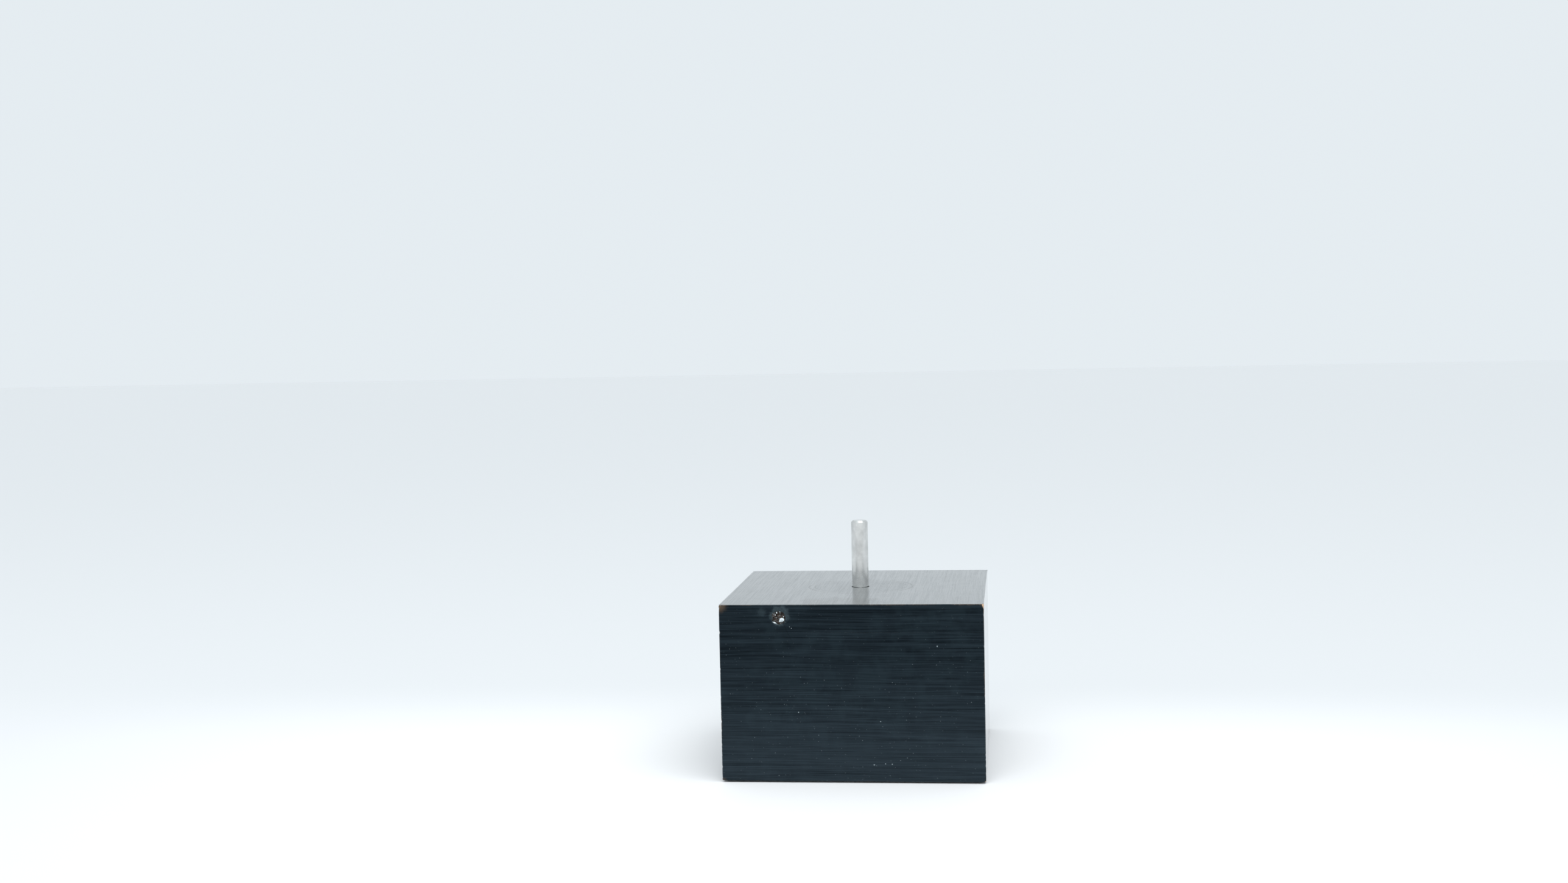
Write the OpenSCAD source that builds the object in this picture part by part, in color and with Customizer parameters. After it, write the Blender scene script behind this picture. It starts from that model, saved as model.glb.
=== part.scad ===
// Display plinth: a small black-painted box plinth with a steel mounting pin.
// The box is built from a top board laid over four walls, stiffened by corner
// blocks and closed by a screwed base board that carries a steel ballast plate.
// The pin turns in a flanged bush under the top and is held by a disc spring
// and two nuts. Origin: centre of the underside, +Z up, front face towards -Y.

/* [Box] */
// Width of the plinth, left to right
plinth_w = 150; // [124:1:260]
// Depth of the plinth, front to back
plinth_d = 150; // [124:1:260]
// Height of the top face above the table
plinth_h = 102; // [85:1:220]
// Thickness of the top board
top_t = 16; // [13:0.5:25]
// Thickness of the four wall boards
wall_t = 16; // [12:0.5:20]
// Chamfer sanded along every outer arris of the box
arris = 0.6; // [0.2:0.1:2]

/* [Base and ballast] */
// Thickness of the felt glued under the box
felt_t = 1; // [0.5:0.25:4]
// Distance of the felt's edge inside the box's outer faces
felt_inset = 4; // [2:0.5:10]
// Thickness of the base board
base_t = 12; // [9:0.5:16]
// Gap around the base board, inside the walls
base_gap = 0.3; // [0.1:0.1:1]
// Thickness of the steel ballast plate
ballast_t = 20; // [5:1:24]
// Diameter of the spanner hole in the ballast plate
ballast_hole_d = 36; // [28:1:42]
// Side of the square corner blocks
corner_s = 16; // [12:1:18]
// Gap between the ballast plate and the corner blocks
ballast_gap = 1; // [0.5:0.5:5]

/* [Pin and bush] */
// Diameter of the mounting pin above the top face
pin_d = 10; // [8:0.5:14]
// Length of the pin above the top face
pin_len = 40; // [15:1:90]
// Width of the shoulder that rests on the bush
shoulder_w = 1; // [0.75:0.25:1.5]
// Radial running clearance of the pin's stem in the bush
stem_clear = 0.05; // [0.02:0.01:0.1]
// Wall thickness of the bush
bush_wall = 3; // [2:0.25:4]
// Diameter of the bush's flange
flange_d = 26; // [22:1:32]
// Thickness of the bush's flange
flange_t = 2; // [1.5:0.25:4]
// Wood left above the bush in the top board
bush_cover = 5; // [3:0.5:8]
// Side of the square block glued under the top board
pin_block_s = 56; // [54:1:58]
// Thickness of the block under the top board
pin_block_t = 22; // [15:1:28]

/* [Fixings] */
// Diameter of the joining dowels
dowel_d = 8; // [6:0.5:9]
// Length of the joining dowels
dowel_len = 28; // [20:1:36]
// Wood left beyond each dowel's blind end
dowel_cover = 4; // [2:0.5:6]
// Shank diameter of the wood screws
wood_screw_d = 4; // [3:0.5:5]
// Length of the screws that hold the base board
base_screw_len = 35; // [20:1:45]
// Length of the screws that hold the pin block
block_screw_len = 30; // [25:1:32]
// Shank diameter of the ballast plate's machine screws
ballast_screw_d = 5; // [4:0.5:6]
// Length of the ballast plate's machine screws
ballast_screw_len = 25; // [16:1:30]

/* [Filler patch] */
// Diameter of the filled hole in the top board's front edge
patch_d = 11; // [6:0.5:11.5]
// Depth of the filled hole
patch_depth = 6; // [3:0.5:8]
// Distance of the patch's centre from the left face
patch_from_left = 34.5; // [30:0.5:44]
// Distance of the patch's centre below the top face
patch_from_top = 6.3; // [6:0.1:6.7]

/* [Hidden] */
$fn = 96;

paint = "#20262c";
raw_wood = "#b98f5f";
steel = "#b9bcbf";
zinc = "#a9adb0";

eps = 0.01;         // overshoot of a cutter past the face that it cuts
glue_gap = 0.05;    // radial gap round a dowel or a screw in its hole
hole_gap = 0.3;     // radial gap between the pin and the hole in the top face

// Heights of the stack, from the table up
base_z = felt_t;
base_top_z = base_z + base_t;
under_top_z = plinth_h - top_t;
block_z = under_top_z - pin_block_t;
flange_z = block_z - flange_t;
bush_top_z = plinth_h - bush_cover;

// Inside of the box
inner_w = plinth_w - 2 * wall_t;
inner_d = plinth_d - 2 * wall_t;
wall_h = under_top_z - base_z;
ballast_w = inner_w - 2 * (corner_s + ballast_gap);
ballast_d = inner_d - 2 * (corner_s + ballast_gap);

// Pin: stem below the shoulder, spigot above the top face
stem_d = pin_d - 2 * shoulder_w;
neck_relief = 0.4;  // the neck inside the top board is this much slimmer in radius
neck_rise = 0.3;    // the neck ends this far above the top face
tip_chamfer = 1;

// Thread and hardware on the stem, after the metric coarse series at 8 mm
pitch = 1.25;
thread_depth = 0.61 * pitch;
nut_af = 1.625 * stem_d;
clamp_nut_h = 0.8 * stem_d;
lock_nut_h = 0.5 * stem_d;
washer_hole_d = stem_d + 0.4;
thrust_d = flange_d - 2;
thrust_t = 1.5;
spring_d = 2.5 * stem_d;
spring_t = 1;
spring_rise = 0.6;
plain_d = 2 * stem_d;
plain_t = 1.6;
thread_runout = 4;  // stem that shows below the lock nut

thrust_z = flange_z - thrust_t;
spring_z = thrust_z - spring_t - spring_rise;
plain_z = spring_z - plain_t;
clamp_nut_z = plain_z - clamp_nut_h;
lock_nut_z = clamp_nut_z - lock_nut_h;
pin_bottom_z = lock_nut_z - thread_runout;
thread_top_z = plain_z + plain_t;

// Screw positions: each set is a rectangle about the centre
base_screw_x = inner_w / 2 - corner_s / 2;
base_screw_y = inner_d / 2 - corner_s / 2;
ballast_screw_x = ballast_w / 2 - 12;
ballast_screw_y = ballast_d / 2 - 12;
block_screw_xy = pin_block_s / 2 - 7;
felt_hole_d = 3 * wood_screw_d;

// Dowel positions
corner_dowel_inset = 3;     // from a wall's inner face to the outer dowels' centres
corner_dowel_x = inner_w / 2 - corner_dowel_inset;
side_dowel_y = inner_d / 2 - 31;
dowel_axis = wall_t / 2;    // depth of every dowel's axis inside the box's faces
dowel_top_z = plinth_h - dowel_cover;
low_dowel_z = base_z + 22;
high_dowel_z = under_top_z - 30;

// ---------- shared shapes ----------

// Rectangle about the centre with its corners cut at 45 degrees
module cut_corner_rect(w, h, c) {
    x = w / 2;
    y = h / 2;
    polygon([
        [x - c, -y], [x, c - y], [x, y - c], [x - c, y],
        [c - x, y], [-x, y - c], [-x, c - y], [c - x, -y]
    ]);
}

// Outside of the finished box, with every arris chamfered
module box_outside() {
    h = plinth_h - base_z;
    translate([0, 0, base_z + h / 2]) intersection() {
        linear_extrude(h, center = true) cut_corner_rect(plinth_w, plinth_d, arris);
        rotate([90, 0, 0]) linear_extrude(plinth_d, center = true)
            cut_corner_rect(plinth_w, h, arris);
        rotate([90, 0, 90]) linear_extrude(plinth_w, center = true)
            cut_corner_rect(plinth_d, h, arris);
    }
}

// Children at the four corners of a rectangle of half sides x and y
module at_four(x, y) {
    for (sx = [-1, 1], sy = [-1, 1])
        translate([sx * x, sy * y, 0]) children();
}

// Countersunk screw pointing up, with the flat of its head at z = 0
module countersunk_screw(d, len, tip) {
    head_r = d;
    head_h = d / 2;
    slot = d * 0.22;
    difference() {
        rotate_extrude() polygon([
            [0, 0], [head_r, 0], [d / 2, head_h],
            [d / 2, len - tip], [d * 0.15, len], [0, len]
        ]);
        for (a = [0, 90]) rotate([0, 0, a])
            translate([-d * 0.55, -slot / 2, -eps]) cube([d * 1.1, slot, head_h]);
    }
}

// Cutter for a countersunk screw's hole
module screw_hole(d, len) {
    r = d / 2 + glue_gap;
    rotate_extrude() polygon([
        [0, -eps], [d + glue_gap, -eps], [d + glue_gap, 0], [r, d / 2], [r, len + 1], [0, len + 1]
    ]);
}

// Upright dowel with chamfered ends, from z = 0
module dowel() {
    r = dowel_d / 2;
    rotate_extrude() polygon([
        [0, 0], [r - 1, 0], [r, 1], [r, dowel_len - 1], [r - 1, dowel_len], [0, dowel_len]
    ]);
}

// Cutter for a dowel's hole
module dowel_hole() {
    translate([0, 0, -0.5]) cylinder(h = dowel_len + 1, d = dowel_d + 2 * glue_gap);
}

// Children placed at every upright dowel between the walls and the top board
module at_top_dowels() {
    edge_x = plinth_w / 2 - dowel_axis;
    edge_y = plinth_d / 2 - dowel_axis;
    z = dowel_top_z - dowel_len;
    for (x = [-corner_dowel_x, 0, corner_dowel_x], sy = [-1, 1])
        translate([x, sy * edge_y, z]) children();
    for (sx = [-1, 1], y = [-side_dowel_y, side_dowel_y])
        translate([sx * edge_x, y, z]) children();
}

// Children placed at every level dowel between the side walls and the front or back
module at_wall_dowels() {
    x = plinth_w / 2 - dowel_axis;
    outer_y = plinth_d / 2 - dowel_cover;
    for (sx = [-1, 1], sy = [-1, 1], z = [low_dowel_z, high_dowel_z])
        translate([sx * x, sy * outer_y, z]) rotate([sy * 90, 0, 0]) children();
}

// Flat ring about the pin's axis, with its underside at z = 0
module ring(outer_d, hole_d, t) {
    difference() {
        cylinder(h = t, d = outer_d);
        translate([0, 0, -eps]) cylinder(h = t + 2 * eps, d = hole_d);
    }
}

// Hexagon nut with chamfered corners, underside at z = 0
module hex_nut(h) {
    corner_r = nut_af / 2 / cos(30);
    c = corner_r - nut_af / 2;
    difference() {
        intersection() {
            cylinder(h = h, r = corner_r, $fn = 6);
            rotate_extrude() polygon([
                [0, 0], [nut_af / 2, 0], [corner_r + eps, c * 0.58],
                [corner_r + eps, h - c * 0.58], [nut_af / 2, h], [0, h]
            ]);
        }
        translate([0, 0, -eps]) cylinder(h = h + 2 * eps, d = stem_d + 2 * glue_gap);
    }
}

// ---------- the painted box ----------

module top_board() {
    color(paint) difference() {
        intersection() {
            translate([-plinth_w / 2, -plinth_d / 2, under_top_z])
                cube([plinth_w, plinth_d, top_t]);
            box_outside();
        }
        translate([0, 0, under_top_z - 1])
            cylinder(h = top_t + 2, d = pin_d + 2 * hole_gap);
        translate([0, 0, under_top_z - eps])
            cylinder(h = bush_top_z - under_top_z + eps, d = stem_d + 2 * bush_wall + 2 * glue_gap);
        at_top_dowels() dowel_hole();
        translate([0, 0, block_z]) at_four(block_screw_xy, block_screw_xy)
            screw_hole(wood_screw_d, block_screw_len);
        patch_place() translate([0, 0, -eps]) cylinder(h = patch_depth + eps, d = patch_d);
    }
}

// Wall across the front (side = -1) or the back (side = 1), the full width of the box
module cross_wall(side) {
    y = side < 0 ? -plinth_d / 2 : plinth_d / 2 - wall_t;
    color(paint) difference() {
        intersection() {
            translate([-plinth_w / 2, y, base_z]) cube([plinth_w, wall_t, wall_h]);
            box_outside();
        }
        at_top_dowels() dowel_hole();
        at_wall_dowels() dowel_hole();
    }
}

// Wall between the front and the back, on the left (side = -1) or the right (side = 1)
module side_wall(side) {
    x = side < 0 ? -plinth_w / 2 : plinth_w / 2 - wall_t;
    color(paint) difference() {
        intersection() {
            translate([x, -inner_d / 2, base_z]) cube([wall_t, inner_d, wall_h]);
            box_outside();
        }
        at_top_dowels() dowel_hole();
        at_wall_dowels() dowel_hole();
    }
}

// Centre of the patch on the box's front face, with +Z pointing into the wood
module patch_place() {
    translate([patch_from_left - plinth_w / 2, -plinth_d / 2, plinth_h - patch_from_top])
        rotate([-90, 0, 0]) children();
}

module filler_patch() {
    color("#39424a") patch_place() cylinder(h = patch_depth, d = patch_d);
}

module top_dowels() {
    color(raw_wood) at_top_dowels() dowel();
}

module wall_dowels() {
    color(raw_wood) at_wall_dowels() dowel();
}

// ---------- inside the box ----------

// Glued block that fills the corner at the signs sx, sy and takes a base screw
module corner_block(sx, sy) {
    h = under_top_z - base_top_z;
    relief = corner_s / 3;
    color(raw_wood) difference() {
        translate([sx * inner_w / 2, sy * inner_d / 2, base_top_z])
            scale([-sx, -sy, 1]) linear_extrude(h) polygon([
                [0, 0], [corner_s, 0], [corner_s, corner_s - relief],
                [corner_s - relief, corner_s], [0, corner_s]
            ]);
        translate([0, 0, base_z]) at_four(base_screw_x, base_screw_y)
            screw_hole(wood_screw_d, base_screw_len);
    }
}

module pin_block() {
    color(raw_wood) difference() {
        translate([0, 0, block_z]) linear_extrude(pin_block_t)
            cut_corner_rect(pin_block_s, pin_block_s, 3);
        translate([0, 0, block_z - eps])
            cylinder(h = pin_block_t + 2 * eps, d = stem_d + 2 * bush_wall + 2 * glue_gap);
        translate([0, 0, block_z]) at_four(block_screw_xy, block_screw_xy)
            screw_hole(wood_screw_d, block_screw_len);
    }
}

module pin_block_screws() {
    color(zinc) translate([0, 0, block_z]) at_four(block_screw_xy, block_screw_xy)
        countersunk_screw(wood_screw_d, block_screw_len, 4);
}

module flange_bush() {
    r_in = stem_d / 2 + stem_clear;
    r_out = stem_d / 2 + bush_wall;
    color("#b08d4f") rotate_extrude() polygon([
        [r_in, flange_z], [flange_d / 2, flange_z], [flange_d / 2, block_z],
        [r_out, block_z], [r_out, bush_top_z], [r_in, bush_top_z]
    ]);
}

// ---------- the turning pin and what is clamped on it ----------

module mounting_pin() {
    r = pin_d / 2;
    stem_r = stem_d / 2;
    neck_r = r - neck_relief;
    neck_top = plinth_h + neck_rise;
    tip_z = plinth_h + pin_len;
    turns = floor((thread_top_z - pin_bottom_z - 1) / pitch);
    thread = [
        for (i = [0 : turns - 1], k = [0, 1])
            [k == 0 ? stem_r - thread_depth : stem_r, pin_bottom_z + 1 + (i + k / 2) * pitch]
    ];
    color(steel) rotate_extrude() polygon(concat(
        [[0, pin_bottom_z], [stem_r - 1, pin_bottom_z]],
        thread,
        [
            [stem_r - thread_depth, pin_bottom_z + 1 + turns * pitch],
            [stem_r, thread_top_z + 0.5], [stem_r, bush_top_z], [neck_r, bush_top_z],
            [neck_r, neck_top], [r, neck_top], [r, tip_z - tip_chamfer],
            [r - tip_chamfer, tip_z], [0, tip_z]
        ]
    ));
}

module thrust_washer() {
    color("#e9e6dc") translate([0, 0, thrust_z]) ring(thrust_d, washer_hole_d, thrust_t);
}

// Conical disc spring: its rim bears on the thrust washer, its bore on the plain washer
module disc_spring() {
    r_in = washer_hole_d / 2;
    r_out = spring_d / 2;
    color("#6d6f70") translate([0, 0, spring_z]) rotate_extrude() polygon([
        [r_in, 0], [r_out, spring_rise], [r_out, spring_t + spring_rise],
        [r_in, spring_t]
    ]);
}

module plain_washer() {
    color(zinc) translate([0, 0, plain_z]) ring(plain_d, washer_hole_d, plain_t);
}

module clamp_nut() {
    color(zinc) translate([0, 0, clamp_nut_z]) hex_nut(clamp_nut_h);
}

module lock_nut() {
    color(zinc) translate([0, 0, lock_nut_z]) rotate([0, 0, 18]) hex_nut(lock_nut_h);
}

// ---------- base, ballast and felt ----------

module base_board() {
    color(raw_wood) difference() {
        translate([0, 0, base_z]) linear_extrude(base_t)
            square([inner_w - 2 * base_gap, inner_d - 2 * base_gap], center = true);
        translate([0, 0, base_z]) {
            at_four(base_screw_x, base_screw_y) screw_hole(wood_screw_d, base_screw_len);
            at_four(ballast_screw_x, ballast_screw_y)
                screw_hole(ballast_screw_d, ballast_screw_len);
        }
    }
}

module base_screws() {
    color(zinc) translate([0, 0, base_z]) at_four(base_screw_x, base_screw_y)
        countersunk_screw(wood_screw_d, base_screw_len, 4);
}

module ballast_plate() {
    color("#5d6165") difference() {
        translate([0, 0, base_top_z]) linear_extrude(ballast_t)
            cut_corner_rect(ballast_w, ballast_d, 2);
        translate([0, 0, base_top_z - eps])
            cylinder(h = ballast_t + 2 * eps, d = ballast_hole_d);
        translate([0, 0, base_z]) at_four(ballast_screw_x, ballast_screw_y)
            screw_hole(ballast_screw_d, ballast_screw_len);
    }
}

module ballast_screws() {
    color(zinc) translate([0, 0, base_z]) at_four(ballast_screw_x, ballast_screw_y)
        countersunk_screw(ballast_screw_d, ballast_screw_len, 1);
}

module felt_pad() {
    color("#17191b") difference() {
        linear_extrude(felt_t)
            cut_corner_rect(plinth_w - 2 * felt_inset, plinth_d - 2 * felt_inset, 5);
        translate([0, 0, -eps]) at_four(base_screw_x, base_screw_y)
            cylinder(h = felt_t + 2 * eps, d = felt_hole_d);
    }
}

top_board();
cross_wall(-1);  // front_board
cross_wall(1);  // back_board
side_wall(-1);  // left_board
side_wall(1);  // right_board
corner_block(-1, -1);  // corner_block_front_left
corner_block(1, -1);  // corner_block_front_right
corner_block(-1, 1);  // corner_block_back_left
corner_block(1, 1);  // corner_block_back_right
top_dowels();
wall_dowels();
pin_block();
pin_block_screws();
flange_bush();
mounting_pin();
thrust_washer();
disc_spring();
plain_washer();
clamp_nut();
lock_nut();
ballast_plate();
ballast_screws();
base_board();
base_screws();
felt_pad();
filler_patch();
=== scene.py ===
"""Display plinth: a worn black box with a turned steel pin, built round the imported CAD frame.

Shapes are worked out in millimetres and made in metres. The box stands on z = 0, its front faces -Y,
and the pin stands on the Z axis.
"""

import itertools
import math

import bmesh
import bpy
import numpy as np
from mathutils import Matrix, Vector


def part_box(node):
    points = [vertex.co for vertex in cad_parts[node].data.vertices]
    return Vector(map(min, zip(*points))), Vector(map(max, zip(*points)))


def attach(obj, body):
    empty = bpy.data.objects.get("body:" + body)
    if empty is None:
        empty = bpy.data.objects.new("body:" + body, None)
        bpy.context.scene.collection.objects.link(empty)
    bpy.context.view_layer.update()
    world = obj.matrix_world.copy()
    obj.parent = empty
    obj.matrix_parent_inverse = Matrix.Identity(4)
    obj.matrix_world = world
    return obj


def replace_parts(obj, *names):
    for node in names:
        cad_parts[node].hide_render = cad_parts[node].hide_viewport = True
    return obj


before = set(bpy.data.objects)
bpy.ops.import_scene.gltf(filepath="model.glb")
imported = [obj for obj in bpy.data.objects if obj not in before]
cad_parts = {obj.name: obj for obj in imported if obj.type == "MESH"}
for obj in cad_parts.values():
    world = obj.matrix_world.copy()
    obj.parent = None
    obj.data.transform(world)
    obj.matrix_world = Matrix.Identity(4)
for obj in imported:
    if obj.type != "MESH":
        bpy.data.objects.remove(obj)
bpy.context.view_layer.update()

MM = 0.001
# In mm: what counts as nothing, and how near two grid points or faces are that count as the same
NEAR_ZERO, SAME_PLACE = 1e-6, 0.01


def box_mm(node):
    """Lowest and highest corner of a CAD node, in millimetres."""
    lo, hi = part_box(node)
    return np.round(np.array(lo) / MM, 3), np.round(np.array(hi) / MM, 3)


TOP_LO, TOP_HI = box_mm("top_board")
FELT_LO, FELT_HI = box_mm("felt_pad")
PATCH_LO, PATCH_HI = box_mm("filler_patch")
PIN_LO, PIN_HI = box_mm("mounting_pin")
BASE_SCREW_OUTER = box_mm("base_screws")[1][0]
BUSH_TOP_Z = box_mm("flange_bush")[1][2]

HALF_W, HALF_D = TOP_HI[0], TOP_HI[1]
TOP_Z, SEAM_Z, BOTTOM_Z = TOP_HI[2], TOP_LO[2], box_mm("front_board")[0][2]
PATCH_X = (PATCH_LO[0] + PATCH_HI[0]) / 2
PATCH_Z = (PATCH_LO[2] + PATCH_HI[2]) / 2
PATCH_R = (PATCH_HI[0] - PATCH_LO[0]) / 2
PIN_R = (PIN_HI[0] - PIN_LO[0]) / 2


def add(name, data):
    """A new object in the scene, with that mesh, light or camera."""
    made = bpy.data.objects.new(name, data)
    bpy.context.scene.collection.objects.link(made)
    return made


# -------- camera

CAMERA_AT = (93.4, -1152.7, 260.1)
CAMERA_YAW, CAMERA_PITCH, CAMERA_ROLL = -6.826, 3.458, 1.198

camera_data = bpy.data.cameras.new("camera")
camera_data.sensor_width = 36.0
camera_data.lens = 44.34
camera_data.clip_end = 50.0
camera = add("camera", camera_data)
bpy.context.scene.camera = camera


def aim(cam, place_mm, yaw_deg, pitch_deg, roll_deg):
    """Camera at place_mm, turned yaw from +Y towards +X, tipped down by pitch and rolled."""
    yaw, pitch, roll = (math.radians(a) for a in (yaw_deg, pitch_deg, roll_deg))
    level = math.cos(pitch)
    ahead = Vector((math.sin(yaw) * level, math.cos(yaw) * level, -math.sin(pitch)))
    right = Vector((math.cos(yaw), -math.sin(yaw), 0.0))
    down = ahead.cross(right)
    rolled_right = math.cos(roll) * right + math.sin(roll) * down
    rolled_down = math.cos(roll) * down - math.sin(roll) * right
    turn = Matrix((rolled_right, -rolled_down, -ahead)).transposed()
    cam.matrix_world = Matrix.Translation(Vector(place_mm) * MM) @ turn.to_4x4()


aim(camera, CAMERA_AT, CAMERA_YAW, CAMERA_PITCH, CAMERA_ROLL)

# -------- numeric noise for shapes


AXIS_PRIMES, SEED_PRIME, SEED_OFFSET = (73856093, 19349663, 83492791), 2654435761, 97
MIX_PRIMES = (2246822519, 3266489917)
LOW_32_BITS = 0xFFFFFFFF


def hashed(i, j, k, seed):
    """A fixed pseudo-random number from -1 to 1 for each lattice point."""
    by_i, by_j, by_k = AXIS_PRIMES
    h = (i * by_i) ^ (j * by_j) ^ (k * by_k) ^ (seed * SEED_PRIME + SEED_OFFSET)
    h &= LOW_32_BITS
    h = ((h ^ (h >> 15)) * MIX_PRIMES[0]) & LOW_32_BITS
    h = ((h ^ (h >> 13)) * MIX_PRIMES[1]) & LOW_32_BITS
    h ^= h >> 16
    return h.astype(np.float64) / (LOW_32_BITS / 2) - 1.0


def lattice_noise(p, size, seed):
    """Smooth noise from -1 to 1 with features of the given size; p is (n, 3)."""
    q = p / size
    base = np.floor(q).astype(np.int64)
    t = q - base
    t = t * t * (3 - 2 * t)
    total = np.zeros(len(p))
    for corner in itertools.product((0, 1), repeat=3):
        wi, wj, wk = (t[:, a] if step else 1 - t[:, a] for a, step in enumerate(corner))
        total += wi * wj * wk * hashed(*(base[:, a] + step for a, step in enumerate(corner)), seed)
    return total


def fractal(p, size, seed, octaves=3):
    """Sum of octaves of lattice noise, each half as large and half as strong as the last, about -1 to 1."""
    total, gain = np.zeros(len(p)), 1.0
    for k in range(octaves):
        total += gain * lattice_noise(p, size / 2**k, seed + 31 * k)
        gain *= 0.5
    return total / 1.6


def smooth(x, lo, hi):
    """Smoothstep of x from 0 at lo to 1 at hi."""
    t = np.clip((x - lo) / (hi - lo), 0.0, 1.0)
    return t * t * (3 - 2 * t)


# -------- mesh building


# How far from a sharp end the grid lines of a board lie, in mm, and the least gap between two lines
CROWDED = (0.0, 0.07, 0.15, 0.25, 0.38, 0.55, 0.75, 1.0, 1.35, 1.8, 2.4, 3.2, 4.2)
LEAST_GAP = 0.05


def spread(start, end, pitch):
    """Evenly spaced numbers from start to end, about pitch apart."""
    return np.linspace(start, end, max(2, int(round((end - start) / pitch)) + 1))


def lines(lo, hi, pitch, fine=(), fine_pitch=0.45):
    """Grid lines from lo to hi: crowded towards both ends, and fine_pitch apart in each (start, end) of fine."""
    reach = min(CROWDED[-1], (hi - lo) / 3)
    kept = [e for e in CROWDED if e <= reach]
    marks = [lo + e for e in kept] + [hi - e for e in kept] + list(spread(lo + kept[-1], hi - kept[-1], pitch))
    for start, end in fine:
        marks = [m for m in marks if not start + NEAR_ZERO < m < end - NEAR_ZERO]
        marks += list(spread(start, end, fine_pitch))
    marks = np.unique(np.round(marks, 4))
    keep = [marks[0]]
    for m in marks[1:]:
        if m - keep[-1] > LEAST_GAP:
            keep.append(m)
    keep[-1] = marks[-1]
    return np.array(keep)


def slab(xs, ys, zs):
    """Closed box with those grid lines on its faces: (points, quads, which quads lie level)."""
    nx, ny, nz = len(xs), len(ys), len(zs)
    index = -np.ones((nx, ny, nz), dtype=np.int64)
    shell = np.zeros((nx, ny, nz), dtype=bool)
    shell[[0, -1]] = shell[:, [0, -1]] = True
    shell[:, :, [0, -1]] = True
    where = np.argwhere(shell)
    index[tuple(where.T)] = np.arange(len(where))
    points = np.stack([xs[where[:, 0]], ys[where[:, 1]], zs[where[:, 2]]], axis=1)
    quads, level = [], []
    for axis in range(3):
        for last in (False, True):
            grid = index.take(-1 if last else 0, axis=axis)
            a, b, c, d = grid[:-1, :-1], grid[1:, :-1], grid[1:, 1:], grid[:-1, 1:]
            outward = [a, b, c, d] if last != (axis == 1) else [a, d, c, b]
            quads.append(np.stack(outward, axis=-1).reshape(-1, 4))
            level.append(np.full(len(quads[-1]), axis == 2))
    return points, np.concatenate(quads), np.concatenate(level)


def between(loops):
    """Quads between each loop of points and the next."""
    rows = [np.stack([a, np.roll(a, -1), np.roll(b, -1), b], axis=1) for a, b in zip(loops[:-1], loops[1:])]
    return np.concatenate(rows)


def bore(start, quads, level, middle, window, rows):
    """Cuts a square window of that half width out of the level faces, and lines it with rings of points.

    rows are (share, radius, height), from the upper face to the lower: a ring's points lie that share of the
    way from the window's edge to a circle of that radius. Returns points, quads and which quads are level."""
    off = start[:, :2] - middle
    inside = np.abs(start[quads].mean(axis=1)[:, :2] - middle).max(axis=1) < window
    on_edge = np.abs(np.abs(off).max(axis=1) - window) < SAME_PLACE
    rims = []
    for height in (rows[0][2], rows[-1][2]):
        found = np.flatnonzero(on_edge & (np.abs(start[:, 2] - height) < SAME_PLACE))
        rims.append(found[np.argsort(np.arctan2(off[found, 1], off[found, 0]))])
    edge = off[rims[0]]
    angle = np.arctan2(edge[:, 1], edge[:, 0])
    circle = np.stack([np.cos(angle), np.sin(angle)], axis=1)
    first, count = len(start), len(edge)
    for share, radius, height in rows:
        flat = middle + edge * (1 - share) + circle * radius * share
        start = np.concatenate([start, np.column_stack([flat, np.full(count, height)])])
    rings = [first + k * count + np.arange(count) for k in range(len(rows))]
    lining = between([rims[0]] + rings + [rims[1]])
    kept = ~(inside & level)
    level = np.concatenate([level[kept], np.zeros(len(lining), dtype=bool)])
    return start, np.concatenate([quads[kept], lining]), level


def mesh_piece(name, points_mm, faces, materials, slots=None, smooth_angle=38.0):
    """A piece from points in millimetres and a list or array of faces, smooth below that angle.

    It rides on the box. Points that no face uses are left out."""
    used, order = np.unique([int(i) for f in faces for i in f], return_inverse=True)
    ends = np.cumsum([len(f) for f in faces])
    faces = [f.tolist() for f in np.split(order.ravel(), ends[:-1])]
    mesh = bpy.data.meshes.new(name)
    mesh.from_pydata((np.asarray(points_mm)[used] * MM).tolist(), [], faces)
    for material in materials:
        mesh.materials.append(material)
    if slots is not None:
        mesh.polygons.foreach_set("material_index", np.asarray(slots, dtype=np.int32))
    mesh.update()
    mesh.shade_smooth()
    mesh.set_sharp_from_angle(angle=math.radians(smooth_angle))
    piece = add(name, mesh)
    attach(piece, "plinth")
    return piece


# -------- wear on the painted box

# Corners of the box that are worn round, in mm: place, extra radius, reach
WORN_CORNERS = (
    ((-HALF_W, -HALF_D, TOP_Z), 1.3, 3.0),
    ((-HALF_W, -HALF_D, BOTTOM_Z), 0.9, 2.2),
    ((HALF_W, -HALF_D, BOTTOM_Z), 0.6, 1.8),
    ((HALF_W, HALF_D, TOP_Z), 0.5, 2.5),
    ((-HALF_W, HALF_D, TOP_Z), 0.7, 2.5),
    ((-HALF_W, HALF_D, BOTTOM_Z), 0.8, 3.0),
    ((HALF_W, HALF_D, BOTTOM_Z), 1.0, 2.5),
)

# Flakes broken off: place, outward normal of the break, how deep it cuts below the corner in mm
CHIPS = (
    ((HALF_W, -HALF_D, TOP_Z), (0.86, -0.42, 0.30), 1.15),
    ((HALF_W, -HALF_D, BOTTOM_Z), (0.62, -0.50, -0.60), 0.75),
    ((-HALF_W, HALF_D, TOP_Z - 22.0), (-0.80, 0.60, 0.0), 0.45),
    ((-HALF_W, HALF_D, BOTTOM_Z), (-0.55, 0.55, -0.62), 1.3),
)

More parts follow.
